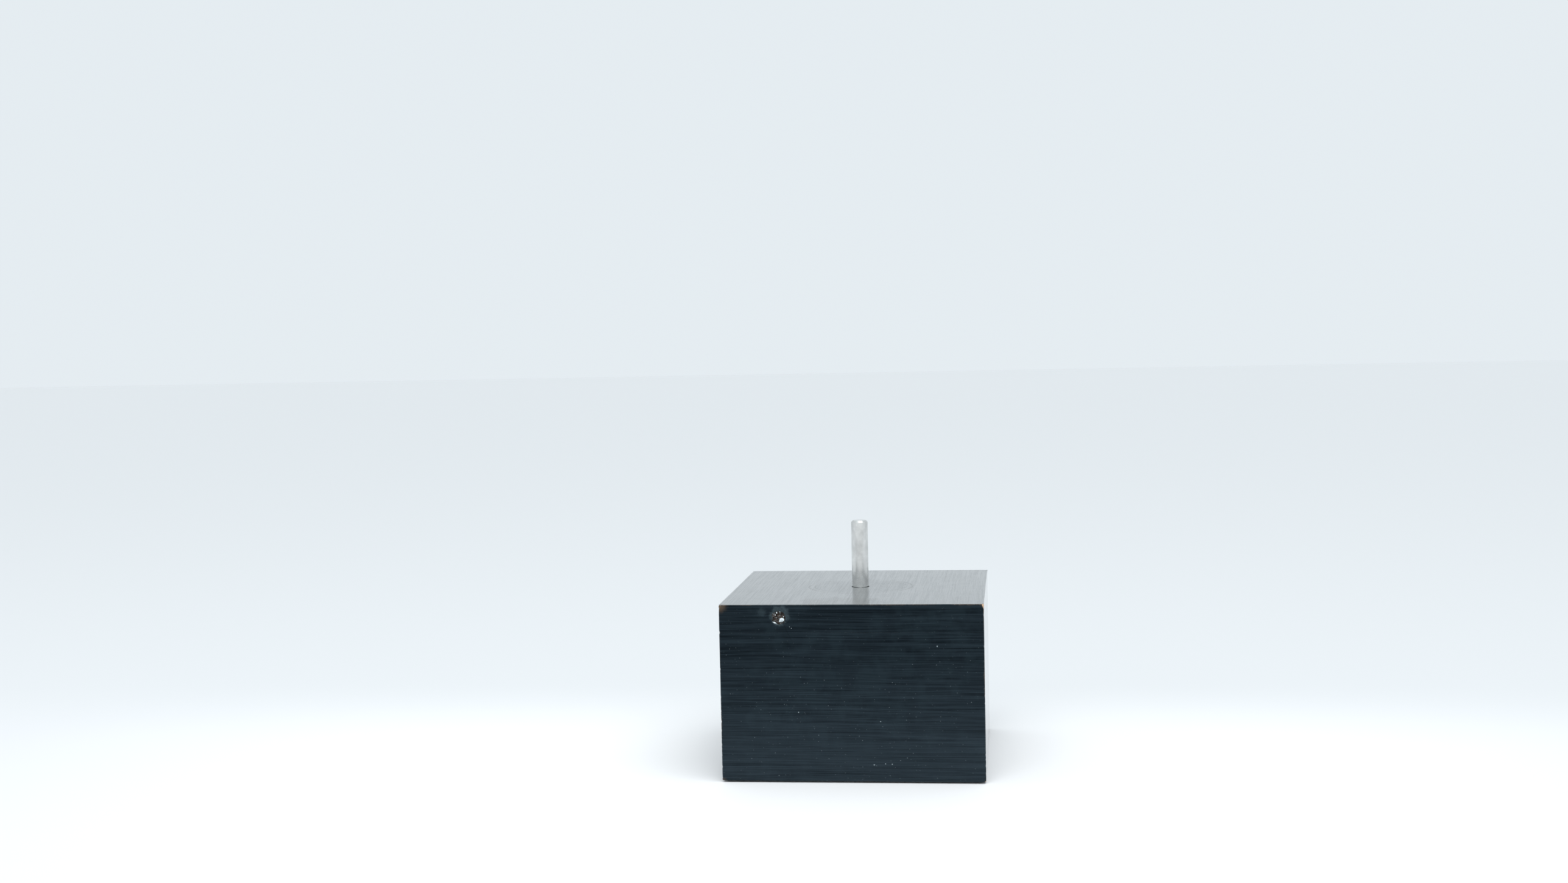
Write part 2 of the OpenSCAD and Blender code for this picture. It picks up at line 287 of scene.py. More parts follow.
# Nicks in the upright arrises, in mm: distance below the top face, depth, half height
LEFT_NICKS = (
    (15.9, 0.30, 0.7), (37.0, 0.13, 0.5), (39.2, 0.10, 0.4), (53.0, 0.11, 0.6), (61.0, 0.09, 0.5),
    (67.0, 0.20, 0.5), (72.2, 0.09, 0.6), (77.0, 0.07, 0.4), (80.3, 0.15, 0.5), (82.5, 0.08, 0.4),
    (86.4, 0.12, 0.5), (93.0, 0.18, 0.6),
)
RIGHT_NICKS = (
    (6.0, 0.22, 0.9), (24.0, 0.20, 0.6), (52.0, 0.16, 0.6), (56.3, 0.14, 0.5), (85.5, 0.18, 0.5),
    (88.2, 0.14, 0.4), (91.6, 0.2, 0.6), (96.2, 0.22, 0.7),
)
BACK_NICKS = ((12.0, 0.3, 0.9), (33.0, 0.2, 0.6), (47.5, 0.35, 1.1), (70.0, 0.2, 0.7), (91.0, 0.3, 0.8))
# Which upright arris each row of nicks is on: the signs of its x and y
NICKS = ((-1, -1, LEFT_NICKS), (1, -1, RIGHT_NICKS), (1, 1, BACK_NICKS), (-1, 1, BACK_NICKS[::-2]))
NICK_REACH = 0.9

# The crumbled part of the filler (x and z of its middle), and the pit that the filler sits in
CRATER = np.array([PATCH_X - 0.4, PATCH_Z - 1.2])
PIT_R, PIT_DEPTH = 5.0, 3.4

# Radius in mm of the arrises that show, its least and most, and that of the edges at a seam
ARRIS_R, LEAST_ARRIS_R, MOST_ARRIS_R, SEAM_R = 0.34, 0.2, 2.2, 0.11
# Points deeper in the board than this share of the radius stay
ARC_SKIN = 0.6
# How fast a flake gets shallower, in mm per mm squared from its middle, and how deep it is where bare wood shows
FLAKE_FADE, BARE_DEPTH = 0.030, 0.10


def round_over(p, wall_a, wall_b, radius):
    """Rounds the arris between two walls (axis, place, sign): a point near both moves onto the arc."""
    (axis_a, place_a, sign_a), (axis_b, place_b, sign_b) = wall_a, wall_b
    a = (place_a - p[:, axis_a]) * sign_a
    b = (place_b - p[:, axis_b]) * sign_b
    near = (a < radius) & (b < radius) & (np.minimum(a, b) < ARC_SKIN * radius)
    da, db = a - radius, b - radius
    length = np.maximum(np.hypot(da, db), 1e-9)
    new_a, new_b = radius + da * radius / length, radius + db * radius / length
    p[near, axis_a] = (place_a - sign_a * new_a)[near]
    p[near, axis_b] = (place_b - sign_b * new_b)[near]


def arris_radius(p, seed):
    """Radius of the outer arrises: uneven along their length, larger at worn corners."""
    r = ARRIS_R + 0.10 * fractal(p, 9.0, seed, 3) + 0.12 * np.maximum(fractal(p, 2.6, seed + 5, 2), 0)
    for place, extra, reach in WORN_CORNERS:
        r += extra * np.exp(-(np.linalg.norm(p - np.array(place), axis=1) / reach) ** 2)
    return np.clip(r, LEAST_ARRIS_R, MOST_ARRIS_R)


def sway_of(start, axis):
    """Slow waviness of a sanded face, in mm along its axis."""
    return 0.07 * fractal(start, 46.0, 3 + axis, 2) + 0.012 * fractal(start, 7.0, 23 + axis, 2) - 0.05


def broken(p, start, place, normal, cut):
    """How far points lie beyond a flake's break, how much shallower it is there, and its unit normal."""
    n = np.array(normal) / np.linalg.norm(normal)
    fade = FLAKE_FADE * np.sum((start - np.array(place)) ** 2, axis=1)
    return (p - np.array(place)) @ n + cut, fade, n


def wear(start, lo, hi, seed):
    """Turns a sharp board (points from corner lo to corner hi) into the worn one. Returns its points."""
    p = start.copy()
    outer = ((0, HALF_W, 1), (0, -HALF_W, -1), (1, HALF_D, 1), (1, -HALF_D, -1), (2, TOP_Z, 1), (2, BOTTOM_Z, -1))
    radius = arris_radius(start, seed)
    seam = SEAM_R + 0.03 * fractal(start, 6.0, seed + 9, 2)
    walls = [(axis, (hi if sign > 0 else lo)[axis], sign) for axis in range(3) for sign in (1, -1)]
    shows = [any(a == b and s == t and abs(v - w) < SAME_PLACE for b, w, t in outer) for a, v, s in walls]
    for i, j in itertools.combinations(range(len(walls)), 2):
        if walls[i][0] != walls[j][0] and (shows[i] or shows[j]):
            round_over(p, walls[i], walls[j], radius if shows[i] and shows[j] else seam)
    for axis, place, _ in outer:
        on = np.abs(start[:, axis] - place) < SAME_PLACE
        p[on, axis] += sway_of(start, axis)[on]
    for sx, sy, nicks in NICKS:
        off_x, off_y = HALF_W - sx * start[:, 0], HALF_D - sy * start[:, 1]
        away = np.hypot(off_x, off_y)
        for down, depth, tall in nicks:
            k = np.exp(-(((TOP_Z - down - start[:, 2]) / tall) ** 2)) * np.exp(-((away / NICK_REACH) ** 2))
            k *= 1 + 0.5 * lattice_noise(start, 0.5, int(down * 10))
            p[:, 0] -= sx * depth * k * 1.2
            p[:, 1] -= sy * depth * k * 0.8
    for number, chip in enumerate(CHIPS):
        depth, fade, n = broken(p, start, *chip)
        over = np.maximum(depth + 0.16 * fractal(start, 0.9, 60 + number, 3) - fade, 0.0)
        p -= over[:, None] * n
    return p


def chipped(start):
    """True where a flake has broken through the paint."""
    bare_wood = np.zeros(len(start), dtype=bool)
    for chip in CHIPS:
        depth, fade, _ = broken(start, start, *chip)
        bare_wood |= depth - fade > BARE_DEPTH
    return bare_wood


# -------- materials


class Graph:
    """Short hand for one material's node tree. Coordinates are the object's own, in millimetres."""

    def __init__(self, name):
        self.material = bpy.data.materials.new(name)
        self.material.use_nodes = True
        self.tree = self.material.node_tree
        self.tree.nodes.clear()
        self.mm = self.vector("SCALE", self.node("TexCoord").outputs["Object"], scale=1 / MM)
        self.x, self.y, self.z = self.node("SeparateXYZ", Vector=self.mm).outputs

    def node(self, kind, settings=None, **inputs):
        """A shader node. Inputs go by their names, with _ for each space."""
        made = self.tree.nodes.new("ShaderNode" + kind)
        for key, value in (settings or {}).items():
            setattr(made, key, value)
        for key, value in inputs.items():
            self.feed(made.inputs[key.replace("_", " ")], value)
        return made

    def feed(self, socket, value):
        """Links value to the socket if it's an output, or else sets it there."""
        if isinstance(value, bpy.types.NodeSocket):
            self.tree.links.new(value, socket)
        else:
            socket.default_value = value

    def math(self, operation, *values):
        made = self.node("Math", {"operation": operation})
        for socket, value in zip(made.inputs, values):
            self.feed(socket, value)
        return made.outputs[0]

    def times(self, first, *others):
        for other in others:
            first = self.math("MULTIPLY", first, other)
        return first

    def plus(self, a, b):
        return self.math("ADD", a, b)

    def minus(self, a, b):
        return self.math("SUBTRACT", a, b)

    def larger(self, a, b):
        return self.math("MAXIMUM", a, b)

    def swing(self, pattern, reach):
        """A 0 to 1 pattern moved to lie about 0, times reach."""
        return self.times(self.minus(pattern, 0.5), reach)

    def vector(self, operation, a, b=None, scale=None):
        made = self.node("VectorMath", {"operation": operation})
        self.feed(made.inputs[0], a)
        if b is not None:
            self.feed(made.inputs[1], b)
        if scale is not None:
            self.feed(made.inputs["Scale"], scale)
        return made.outputs["Value" if operation in ("LENGTH", "DISTANCE") else "Vector"]

    def combine(self, x, y, z):
        return self.node("CombineXYZ", X=x, Y=y, Z=z).outputs[0]

    def stretched(self, sx, sy, sz, shift):
        """Coordinates in mm, scaled on each axis; shift picks another part of the pattern."""
        place = (shift, shift * 0.7, shift * 1.3)
        return self.node("Mapping", Vector=self.mm, Scale=(sx, sy, sz), Location=place).outputs[0]

    def noise(self, vector, detail=2.0, rough=0.5, bend=0.0):
        made = self.node("TexNoise", Vector=vector, Scale=1.0, Detail=detail, Roughness=rough, Distortion=bend)
        return made.outputs["Fac"]

    def even(self, per_mm, shift, detail=2.0, rough=0.5):
        """Noise with the same scale on every axis."""
        return self.noise(self.stretched(per_mm, per_mm, per_mm, shift), detail, rough)

    def cells(self, vector):
        """Scattered points: the distance to the nearest one, and its three random numbers."""
        made = self.node("TexVoronoi", Vector=vector, Scale=1.0)
        return made.outputs["Distance"], self.node("SeparateColor", Color=made.outputs["Color"]).outputs

    def band(self, value, low, high, to_low=0.0, to_high=1.0):
        """Smooth step of value from to_low at low to to_high at high."""
        return self.node(
            "MapRange", {"interpolation_type": "SMOOTHSTEP"}, Value=value,
            From_Min=low, From_Max=high, To_Min=to_low, To_Max=to_high).outputs[0]

    def blend(self, share, a, b):
        """Colour a where share is 0 and b where it is 1."""
        made = self.node("Mix", {"data_type": "RGBA"})
        self.feed(made.inputs[0], share)
        for socket, value in ((made.inputs[6], a), (made.inputs[7], b)):
            self.feed(socket, (*value, 1.0) if isinstance(value, tuple) else value)
        return made.outputs[2]

    def tint(self, share, *stops):
        """Colour ramp: stops are (position, (r, g, b))."""
        made = self.node("ValToRGB", Fac=share)
        ramp = made.color_ramp
        while len(ramp.elements) < len(stops):
            ramp.elements.new(0.5)
        for element, (place, colour) in zip(ramp.elements, stops):
            element.position, element.color = place, (*colour, 1.0)
        return made.outputs[0]

    def shine(self, color, roughness, height=None, bump_mm=0.02, **inputs):
        """Principled surface with a bump of bump_mm between height 0 and 1, and other inputs by name."""
        if height is not None:
            bump = self.node("Bump", Height=height, Strength=1.0, Distance=bump_mm * MM)
            inputs["Normal"] = bump.outputs[0]
        shader = self.node("BsdfPrincipled", Base_Color=color, Roughness=roughness, **inputs)
        self.node("OutputMaterial", Surface=shader.outputs[0])
        return self.material


# Colours of the lacquer and what shows on it and through it, linear
TOP_TONES = (0.15, (0.009, 0.013, 0.015)), (0.85, (0.026, 0.032, 0.034))
WALL_TONES = (0.12, (0.0008, 0.0020, 0.0031)), (0.88, (0.0072, 0.0122, 0.0164))
# The second colour on the next line is painted light: the pale floor's reflection, painted on the lower part of
# the walls
CLOUDED, FLOOR_REFLECTION_PAINT = (0.012, 0.021, 0.026), (0.0125, 0.0185, 0.0235)
DUST_ON_TOP, DUST = (0.30, 0.31, 0.31), (0.20, 0.235, 0.25)
BROWN_WEAR, PALE_WEAR = (0.060, 0.042, 0.029), (0.34, 0.33, 0.31)
RUBBED_TONES = (0.35, (0.030, 0.020, 0.014)), (0.62, (0.120, 0.082, 0.052))
STAIN, CRUMBS = (0.040, 0.057, 0.064), (0.36, 0.39, 0.39)
SAW_MARK, SCRATCH, PORE = (0.0016, 0.003, 0.0045), (0.002, 0.003, 0.004), (0.003, 0.004, 0.004)
RUB_RING, RUB_PATCH = (0.055, 0.052, 0.046), (0.050, 0.041, 0.032)
BLUE_GLOSS, TOP_GLOSS = (0.62, 0.83, 1.0, 1.0), (0.86, 0.97, 1.0, 1.0)

# White specks on the front, in mm: from the left face, down from the top face, radius
SPECKS = (
    (123.6, 23.8, 0.30), (87.0, 91.4, 0.28), (93.4, 90.8, 0.20),
    (97.2, 91.0, 0.24), (91.0, 66.6, 0.20), (44.5, 61.5, 0.24),
)

# Corners rubbed brown: place, reach in mm, how much
RUBBED_CORNERS = (
    ((-HALF_W, -HALF_D, TOP_Z), 6.0, 0.85),
    ((-HALF_W, -HALF_D, BOTTOM_Z), 2.6, 0.6),
    ((HALF_W, -HALF_D, TOP_Z), 2.8, 0.45),
)

SECOND_STAIN = (-HALF_W + 24.5, 0.0, TOP_Z - 4.2)
SAW_ANGLE = math.radians(24.0)
# Two rings rubbed round the pin: radius, half width outside and inside its soft edge, how much
RUB_RINGS = ((31.0, 0.9, 0.2, 1.0), (27.6, 0.6, 0.1, 0.7))
# The rubbed patch near the front edge: middle on the top face, and how much shorter it is from front to back
RUB_PATCH_X, RUB_PATCH_IN, RUB_PATCH_SQUASH = -6.0, 12.0, 1.25


def on_front(g):
    """1 on the front face and 0 from 9 mm behind it."""
    return g.band(g.y, -HALF_D + 9.0, -HALF_D + 7.0)


def patch_stain(g):
    """Share of thin grey-green filler paint round the filled hole on the front face, 0 to 1."""
    ragged = g.even(0.28, 11.0, 4.0, 0.62)
    fine = g.even(1.6, 5.0, 3.0, 0.6)
    flat = g.combine(g.x, 0.0, g.z)
    edge = g.plus(g.vector("DISTANCE", flat, (PATCH_X + 0.2, 0.0, PATCH_Z)), g.swing(ragged, 7.5))
    second_edge = g.plus(g.vector("DISTANCE", flat, SECOND_STAIN), g.swing(fine, 7.0))
    both = g.larger(g.band(edge, 6.9, 4.3), g.times(g.band(second_edge, 3.4, 1.2), 0.5))
    return g.times(both, g.band(fine, 0.22, 0.62, 0.45, 1.0), on_front(g))


def brush_marks(g, along, facing):
    """Marks of brush and sanding paper that run along one axis: 0 in the troughs, 1 on the ridges."""
    across = next(a for a in "xyz" if a not in (along, facing))
    bent = {"x": g.x, "y": g.y, "z": g.z}
    bent[across] = g.plus(bent[across], g.swing(g.even(0.012, 3.0, 1.0), 1.6))

    def streak(per_mm_across, per_mm_along, shift, detail, rough):
        parts = {
            across: g.times(bent[across], per_mm_across),
            along: g.times(bent[along], per_mm_along),
            facing: g.plus(g.times(bent[facing], 0.05), shift),
        }
        return g.noise(g.combine(parts["x"], parts["y"], parts["z"]), detail, rough)

    broad = g.band(streak(0.70, 0.008, 0.0, 3.0, 0.62), 0.34, 0.66, 0.0, 0.24)
    fine = g.band(streak(3.0, 0.024, 7.3, 3.0, 0.65), 0.36, 0.64, 0.0, 0.42)
    hair = g.band(streak(6.5, 0.045, 19.1, 2.0, 0.6), 0.36, 0.64, 0.0, 0.34)
    return g.plus(broad, g.plus(fine, hair))


def dust_share(g, facing):
    """Share of pale dust: pin-pricks, finer flecks, and on the front the larger specks."""
    near, chance = g.cells(g.stretched(0.52, 0.52, 0.52, 2.0))
    ragged = g.swing(g.even(4.5, 27.0, 3.0, 0.7), 0.22)
    size = g.plus(g.times(g.math("POWER", chance[0], 5.0), 0.06), ragged)
    pricks = g.math("LESS_THAN", near, g.plus(size, 0.055))
    pricks = g.times(pricks, g.math("GREATER_THAN", chance[1], 0.30))
    near, chance = g.cells(g.stretched(1.1, 1.1, 1.1, 9.0))
    flecks = g.times(g.math("LESS_THAN", near, 0.075), g.math("GREATER_THAN", chance[1], 0.86))
    dust = g.larger(g.times(pricks, 0.75), g.times(flecks, 0.4))
    if facing == "z":
        return g.times(dust, 0.25)
    dust = g.times(dust, g.band(g.z, TOP_Z, BOTTOM_Z + 8.0, 0.35, 0.85))
    if facing == "x":
        return g.times(dust, 0.45)
    for from_left, down, radius in SPECKS:
        off = g.vector("DISTANCE", g.mm, (from_left - HALF_W, -HALF_D, TOP_Z - down))
        dust = g.larger(dust, g.band(g.plus(off, ragged), radius + 0.15, radius))
    return dust


def arris_wear(g, facing, colour, gnawed):
    """Brown undercoat along the arrises, pale specks on it, and rubbed corners. Returns the colour."""
    edges = {
        "x": g.minus(HALF_W, g.math("ABSOLUTE", g.x)),
        "y": g.minus(HALF_D, g.math("ABSOLUTE", g.y)),
        "z": g.minus(TOP_Z, g.z),
    }
    near = [edges[a] for a in "xyz" if a != facing]
    if facing != "z":
        # the lower arris is the least worn, so it counts as half a millimetre further off
        near.append(g.minus(g.z, BOTTOM_Z - 0.5))
    nearest = near[0]
    for other in near[1:]:
        nearest = g.math("MINIMUM", nearest, other)
    patchy = g.even(0.045, 53.0)
    bite = g.times(gnawed, g.band(patchy, 0.42, 0.70), 1.35)
    worn = g.band(g.minus(nearest, bite), 0.05, -0.35)
    colour = g.blend(g.times(worn, 0.7), colour, BROWN_WEAR)
    speck = g.band(g.even(2.4, 71.0, 3.0, 0.65), 0.60, 0.68)
    pale = g.times(speck, g.band(nearest, 0.55, 0.15), g.band(patchy, 0.46, 0.60, 0.15, 0.9))
    colour = g.blend(pale, colour, PALE_WEAR)
    for place, reach, share in RUBBED_CORNERS:
        off = g.plus(g.vector("DISTANCE", g.mm, place), g.swing(gnawed, 6.0))
        rub = g.times(g.band(off, reach, reach * 0.25), share)
        colour = g.blend(rub, colour, g.tint(gnawed, *RUBBED_TONES))
    return colour


def front_marks(g, colour, roughness, height, mist):
    """The filler's stain, saw scratches and one thin scratch. Returns colour, roughness and height."""
    stain = patch_stain(g)
    colour = g.blend(g.times(stain, 0.62), colour, STAIN)
    crumbs = g.band(g.even(3.4, 41.0, 3.0, 0.6), 0.67, 0.73)
    colour = g.blend(g.times(crumbs, stain, 0.6), colour, CRUMBS)
    roughness = g.plus(roughness, g.times(stain, 0.2))
    # steep saw scratches, seen only here and there
    slant = g.node("VectorRotate", {"rotation_type": "Y_AXIS"}, Vector=g.mm, Angle=SAW_ANGLE).outputs[0]
    sx, _, sz = g.node("SeparateXYZ", Vector=slant).outputs
    saw = g.band(g.noise(g.combine(g.times(sx, 1.3), 0.0, g.times(sz, 0.035)), 2.0, 0.6), 0.64, 0.72)
    saw = g.times(saw, g.band(g.even(0.030, 83.0, 1.0), 0.50, 0.64))
    height = g.minus(height, g.times(saw, 0.55))
    colour = g.blend(g.times(saw, 0.35), colour, SAW_MARK)
    # one thin scratch that runs down and to the right from the crumbled hole
    drop = g.minus(CRATER[1] - 2.0, g.z)
    path = g.plus(g.times(drop, 0.45), g.swing(mist, 2.0))
    line = g.math("ABSOLUTE", g.minus(g.minus(g.x, CRATER[0] + 2.2), path))
    along_it = g.times(g.band(drop, 0.0, 1.0), g.band(drop, 13.0, 9.0))
    mark = g.times(g.band(line, 0.42, 0.12), along_it, on_front(g))
    colour = g.blend(g.times(mark, 0.6), colour, SCRATCH)
    return colour, roughness, g.minus(height, mark)


def top_marks(g, colour, roughness, height, cloud, mist, gnawed):
    """Pores, rub rings and a rubbed patch on the top face. Returns colour, roughness and height."""
    pore = g.band(g.noise(g.stretched(2.6, 0.16, 1.0, 5.0), 3.0, 0.7), 0.60, 0.70)
    colour = g.blend(g.times(pore, 0.5), colour, PORE)
    height = g.minus(height, g.times(pore, 0.6))
    # rings rubbed round the pin by whatever turned on it
    radius = g.plus(g.vector("LENGTH", g.combine(g.x, g.y, 0.0)), g.swing(cloud, 3.0))
    rings = None
    for ring_r, outside, inside, share in RUB_RINGS:
        ring = g.band(g.math("ABSOLUTE", g.minus(radius, ring_r)), outside, inside)
        rings = ring if rings is None else g.larger(rings, g.times(ring, share))
    rings = g.times(rings, g.band(g.even(0.055, 61.0), 0.42, 0.60))
    within = g.band(radius, RUB_RINGS[0][0], 26.0)
    fine_rings = g.times(within, g.noise(g.combine(g.times(radius, 1.6), 0.0, 0.0), 3.0, 0.7))
    colour = g.blend(g.times(rings, 0.55), colour, RUB_RING)
    roughness = g.plus(roughness, g.times(rings, 0.18))
    roughness = g.plus(roughness, g.times(fine_rings, 0.10))
    height = g.minus(height, g.times(rings, 0.8))
    height = g.minus(height, g.times(fine_rings, 0.35))
    # brown rubbed patch near the front edge
    middle = (RUB_PATCH_X, -HALF_D * RUB_PATCH_SQUASH + RUB_PATCH_IN, 0.0)
    off = g.vector("DISTANCE", g.combine(g.x, g.times(g.y, RUB_PATCH_SQUASH), 0.0), middle)
    brown = g.times(g.band(g.plus(off, g.swing(mist, 44.0)), 27.0, 19.0), g.band(gnawed, 0.25, 0.75, 0.35, 0.9))
    colour = g.blend(g.times(brown, 0.38), colour, RUB_PATCH)
    return colour, g.plus(roughness, g.times(brown, 0.14)), height


def lacquer(name, along, facing):
    """Worn black lacquer. along: the axis that its brush marks follow; facing: the axis that it faces."""
    g = Graph(name)
    top = facing == "z"
    grain = brush_marks(g, along, facing)
    cloud = g.even(0.021, 31.0, 3.0, 0.55)
    mist = g.even(0.11, 47.0, 4.0, 0.6)
    gnawed = g.even(0.55, 17.0, 4.0, 0.7)
    if top:
        colour = g.tint(grain, *TOP_TONES)
    else:
        colour = g.tint(grain, *WALL_TONES)
        colour = g.blend(g.band(g.times(cloud, mist), 0.20, 0.34, 0.0, 0.30), colour, CLOUDED)
        # painted reflection of the pale floor: the walls grow lighter towards the floor, unevenly
        painted_floor_reflection = g.times(g.band(g.z, TOP_Z - 34.0, BOTTOM_Z, 0.0, 0.52), g.band(mist, 0.25, 0.70, 0.6, 1.0))
        colour = g.blend(painted_floor_reflection, colour, FLOOR_REFLECTION_PAINT)
    colour = g.blend(dust_share(g, facing), colour, DUST_ON_TOP if top else DUST)
    colour = arris_wear(g, facing, colour, gnawed)
    smooth_end, rough_end = (0.13, 0.30) if top else (0.20, 0.38)
    roughness = g.plus(g.band(grain, 0.1, 0.9, smooth_end, rough_end), g.swing(mist, 0.10))
    if top:
        colour, roughness, height = top_marks(g, colour, roughness, grain, cloud, mist, gnawed)
        return g.shine(colour, roughness, height, bump_mm=0.012, Specular_Tint=TOP_GLOSS,
                       Coat_Weight=0.72, Coat_Roughness=0.14, Coat_IOR=1.5)
    level = g.times(g.band(grain, 0.1, 0.9, 0.18, 0.40), g.band(g.z, TOP_Z - 12.0, BOTTOM_Z, 0.55, 0.95))
    if facing == "x":
        return g.shine(colour, roughness, grain, bump_mm=0.012, Specular_IOR_Level=level,
                       Specular_Tint=BLUE_GLOSS, Coat_Weight=0.95, Coat_Roughness=0.03, Coat_IOR=1.4)
    colour, roughness, height = front_marks(g, colour, roughness, grain, mist)
    return g.shine(colour, roughness, height, bump_mm=0.014, Specular_IOR_Level=level, Specular_Tint=BLUE_GLOSS)


def bare(name, dark, light, along, ring=0.35):
    """Unpainted wood with its grain along one axis."""
    g = Graph(name)

    def along_grain(across_scale, along_scale, shift, detail, rough, bend=0.0):
        scale = {a: along_scale if a == along else across_scale for a in "xyz"}
        return g.noise(g.stretched(scale["x"], scale["y"], scale["z"], shift), detail, rough, bend)

    warp = g.even(0.02, 4.0)
    rings = along_grain(ring, ring * 0.045, 9.0, 3.0, 0.55, 0.6)
    fibres = along_grain(5.0, 0.22, 2.0, 3.0, 0.7)
    mixed = g.plus(g.plus(g.times(rings, 0.65), g.times(fibres, 0.25)), g.times(warp, 0.10))
    colour = g.tint(mixed, (0.36, dark), (0.62, light))
    roughness = g.band(fibres, 0.3, 0.7, 0.50, 0.72)
    return g.shine(colour, roughness, g.plus(mixed, fibres), bump_mm=0.05, Specular_IOR_Level=0.35)


def turned(name, colours, rough_ends, ring, bump_mm=0.004):
    """Metal turned about Z: fine rings, smudges and small scratches."""
    g = Graph(name)
    radius = g.vector("LENGTH", g.combine(g.x, g.y, 0.0))
    spiral = g.plus(g.z, g.times(radius, 0.7))
    rings = g.noise(g.combine(g.times(spiral, ring), g.times(g.x, 0.02), g.times(g.y, 0.02)), 4.0, 0.7)
    smudge = g.noise(g.stretched(0.16, 0.16, 0.10, 12.0), 4.0, 0.6)
    scuff = g.band(g.noise(g.stretched(0.7, 0.7, 3.0, 33.0), 3.0, 0.7), 0.62, 0.70)
    colour = g.tint(smudge, (0.34, colours[0]), (0.66, colours[1]))
    mixed = g.plus(g.times(rings, 0.55), g.times(smudge, 0.45))
    roughness = g.plus(g.band(mixed, 0.32, 0.68, *rough_ends), g.times(scuff, 0.14))
    return g.shine(colour, roughness, g.minus(rings, g.times(scuff, 0.5)), bump_mm=bump_mm, Metallic=1.0)


def plated(name, colours, rough_ends, grain=1.2, bump_mm=0.012):
    """Plated or rolled steel: mottled, with fine pits."""
    g = Graph(name)
    mottle = g.even(0.30, 6.0, 5.0, 0.62)
    pits = g.even(grain * 2, 15.0, 4.0, 0.65)
    colour = g.tint(mottle, (0.34, colours[0]), (0.66, colours[1]))
    roughness = g.band(g.plus(g.times(mottle, 0.6), g.times(pits, 0.4)), 0.35, 0.65, *rough_ends)
    return g.shine(colour, roughness, pits, bump_mm=bump_mm, Metallic=1.0)


def moulded(name, colours):
    """Moulded plastic: slightly mottled, with a fine skin."""
    g = Graph(name)
    colour = g.tint(g.even(0.18, 3.0, 3.0), (0.35, colours[0]), (0.65, colours[1]))
    skin = g.even(4.0, 8.0, 3.0, 0.6)
    return g.shine(colour, g.band(skin, 0.3, 0.7, 0.42, 0.60), skin, bump_mm=0.01, Subsurface_Weight=0.1)


def felted(name):
    """Pressed wool felt: matted fibres in all directions, lint and a soft sheen."""
    g = Graph(name)
    mat_a = g.noise(g.stretched(1.1, 5.5, 2.0, 2.0), 5.0, 0.72, 1.6)
    mat_b = g.noise(g.stretched(5.5, 1.1, 2.0, 21.0), 5.0, 0.72, 1.6)
    mat = g.times(g.plus(mat_a, mat_b), 0.5)
    tone = g.plus(g.times(mat, 0.6), g.times(g.even(0.07, 5.0, 4.0, 0.6), 0.4))
    colour = g.tint(tone, (0.36, (0.010, 0.012, 0.015)), (0.64, (0.045, 0.049, 0.054)))
    near, chance = g.cells(g.stretched(0.30, 0.55, 0.4, 4.0))
    lint = g.times(g.math("LESS_THAN", near, 0.045), g.math("GREATER_THAN", chance[0], 0.62))
    colour = g.blend(g.times(lint, 0.7), colour, (0.30, 0.30, 0.28))
    roughness = g.band(mat, 0.3, 0.7, 0.82, 0.98)
    return g.shine(colour, roughness, mat, bump_mm=0.35, Sheen_Weight=0.25, Specular_IOR_Level=0.15)


def filler_core(name):
    """Broken filler inside the crumbled hole: brown, grey and cream grains."""
    g = Graph(name)
    grit = g.even(2.4, 14.0, 4.0, 0.7)
    push = g.combine(grit, g.times(grit, 1.7), g.times(grit, -1.3))
    near, chance = g.cells(g.vector("ADD", g.stretched(1.6, 1.6, 1.6, 3.0), push))
    soft = g.even(0.55, 31.0, 4.0, 0.6)
    pick = g.plus(g.times(chance[0], 0.26), g.plus(g.times(grit, 0.30), g.times(soft, 0.44)))
    colour = g.tint(
        pick, (0.36, (0.006, 0.007, 0.009)), (0.45, (0.032, 0.020, 0.014)), (0.52, (0.078, 0.056, 0.042)),
        (0.60, (0.074, 0.088, 0.095)), (0.70, (0.35, 0.39, 0.40)))
    return g.shine(colour, 0.86, g.plus(grit, near), bump_mm=0.25, Specular_IOR_Level=0.25)


def plaster(name):
    """Loose crumbs of white filler."""
    g = Graph(name)
    grit = g.even(2.2, 4.0, 4.0, 0.6)
    colour = g.tint(grit, (0.34, (0.26, 0.33, 0.37)), (0.58, (0.80, 0.87, 0.89)))
    return g.shine(colour, 0.8, grit, bump_mm=0.12, Specular_IOR_Level=0.3)


LACQUER_TOP = lacquer("lacquer_top", "y", "z")
LACQUER_FRONT = lacquer("lacquer_front_back", "x", "y")
LACQUER_SIDE = lacquer("lacquer_sides", "y", "x")
CHIP_WOOD = bare("bare_wood_in_chips", (0.34, 0.20, 0.11), (0.66, 0.46, 0.30), "x", ring=1.4)
BOX_MATERIALS = [LACQUER_SIDE, LACQUER_FRONT, LACQUER_TOP, CHIP_WOOD]
FILLER_MATERIALS = [LACQUER_FRONT, filler_core("filler_core"), plaster("filler_lump")]
BARE_WOOD_SLOT, FILLER_PAINT_SLOT, CORE_SLOT, LUMP_SLOT = 3, 0, 1, 2

# -------- the painted boards


# Distance between grid lines, in mm, and what settles which axis a slanting face faces most
BOARD_PITCH, SIDE_PITCH = 1.9, 2.2
TIE_BREAK = np.array([1.0, 1.001, 1.002])
# The top's holes, in mm: gap round the pin, radius of the bush's hole, half width of the fine grid round the
# pin and round the pit, and the worn arris of the pin's hole (out from the hole, down from the top face)
PIN_GAP, BUSH_HOLE_R, PIN_WINDOW, PIT_WINDOW = 0.3, 7.05, 9.0, 7.0
HOLE_ARRIS = ((0.5, 0.0), (0.22, 0.03), (0.06, 0.14), (0.0, 0.34), (0.0, 1.5), (0.0, 3.0))


